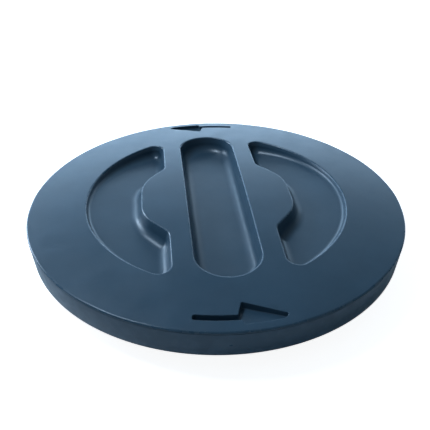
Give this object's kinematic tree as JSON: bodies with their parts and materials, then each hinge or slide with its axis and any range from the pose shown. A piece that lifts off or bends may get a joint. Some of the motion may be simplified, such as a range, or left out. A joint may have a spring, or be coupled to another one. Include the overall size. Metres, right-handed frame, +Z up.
{
  "type": "manhole cover",
  "caption": "Round twist-lock plastic access cover with a long hand slot, two grip recesses and turn arrows, screwed into a bolted neck ring.",
  "frame": {"origin": "centre of the neck spigot's lower end, on the surface that the object stands on", "axes": "+Z up along the thread axis; +Y along the hand slot; +X towards the right-hand recess"},
  "size_m": [0.5, 0.5, 0.0756],
  "materials": {
    "cover_top_plastic": "matte dark blue-grey polyethylene with a fine leathery grain",
    "cover_base_plastic": "matte dark blue-grey polyethylene",
    "insulation": "cut rigid foam with fine cells",
    "stainless_steel": "stainless fasteners",
    "brass": "turned brass",
    "seal_rubber": "matte black rubber",
    "neck_plastic": "matte dark polyethylene",
    "galvanised_steel": "galvanised steel plate"
  },
  "bodies": {
    "neck": {"neck_ring": "neck_plastic", "backing_ring": "galvanised_steel", "flange_gasket": "seal_rubber"},
    "seal": {"seal_ring": "seal_rubber"},
    "cover": {"top_shell": "cover_top_plastic", "base_shell": "cover_base_plastic", "foam_core": "insulation", "shell_screws": "stainless_steel", "screw_washers": "stainless_steel", "boss_inserts": "brass"}
  },
  "joints": [
    {"name": "cover_rise", "type": "slide", "parent": "neck", "child": "seal", "axis": [0, 0, 1], "range_m": [0, 0.03343]},
    {"name": "cover_turn", "type": "hinge", "parent": "seal", "child": "cover", "pos_m": [0, 0, 0.05], "axis": [0, 0, 1], "range_deg": [0, 120]}
  ],
  "couplings": [
    {"joint": "cover_rise", "follows": "cover_turn", "m_per_rad": 0.015915}
  ]
}
